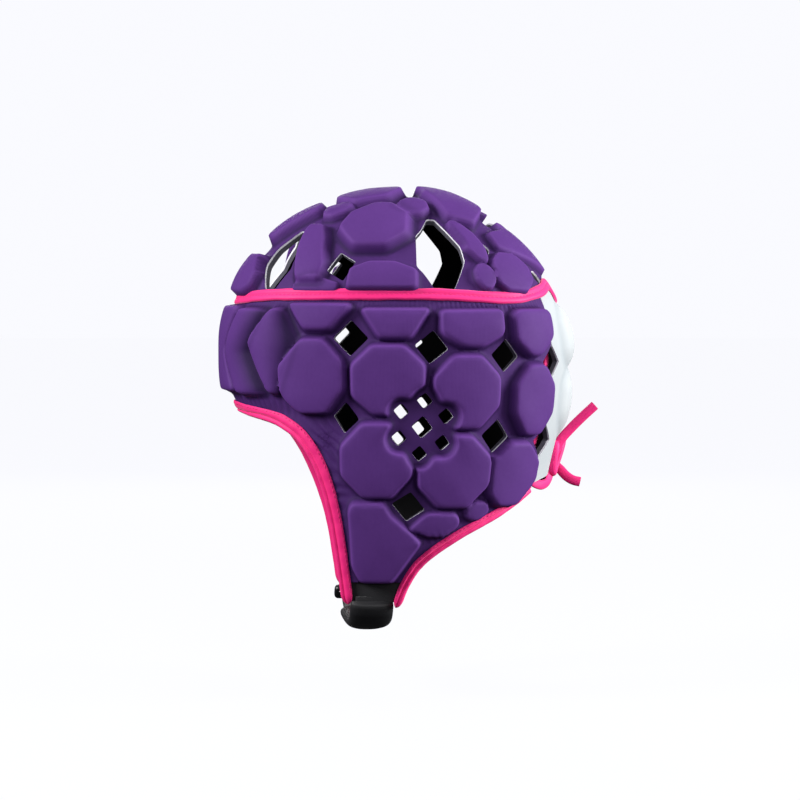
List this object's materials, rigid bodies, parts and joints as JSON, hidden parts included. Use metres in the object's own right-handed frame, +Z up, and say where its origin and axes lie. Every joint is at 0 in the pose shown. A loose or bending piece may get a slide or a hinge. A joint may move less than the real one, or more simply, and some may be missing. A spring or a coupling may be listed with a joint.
{
  "type": "padded head guard",
  "caption": "Soft padded sports head guard with moulded foam blocks, cut-through vents, ear flaps, bound edges, a laced rear panel and a padded chin strap.",
  "frame": {"origin": "inner top of the crown, where the guard sits on the head", "axes": "+Z up, -Y towards the face, +X towards the wearer's left"},
  "size_m": [0.178, 0.2365, 0.2736],
  "materials": {
    "shell_fabric": "purple knit over foam",
    "rear_fabric": "white knit over foam",
    "trim": "pink woven tape",
    "webbing": "black webbing",
    "neoprene": "matte black foam",
    "moulded_plastic": "moulded"
  },
  "bodies": {
    "root": {"crown_panel": "shell_fabric", "side_band": "shell_fabric", "rear_panel": "rear_fabric", "crown_binding": "trim", "front_binding": "trim", "rear_binding_left": "trim", "rear_binding_right": "trim", "lace": "trim", "flap_tab_left": "webbing", "flap_tab_right": "webbing", "chin_strap": "webbing", "chin_pad": "neoprene", "strap_loop": "moulded_plastic"}
  },
  "joints": []
}
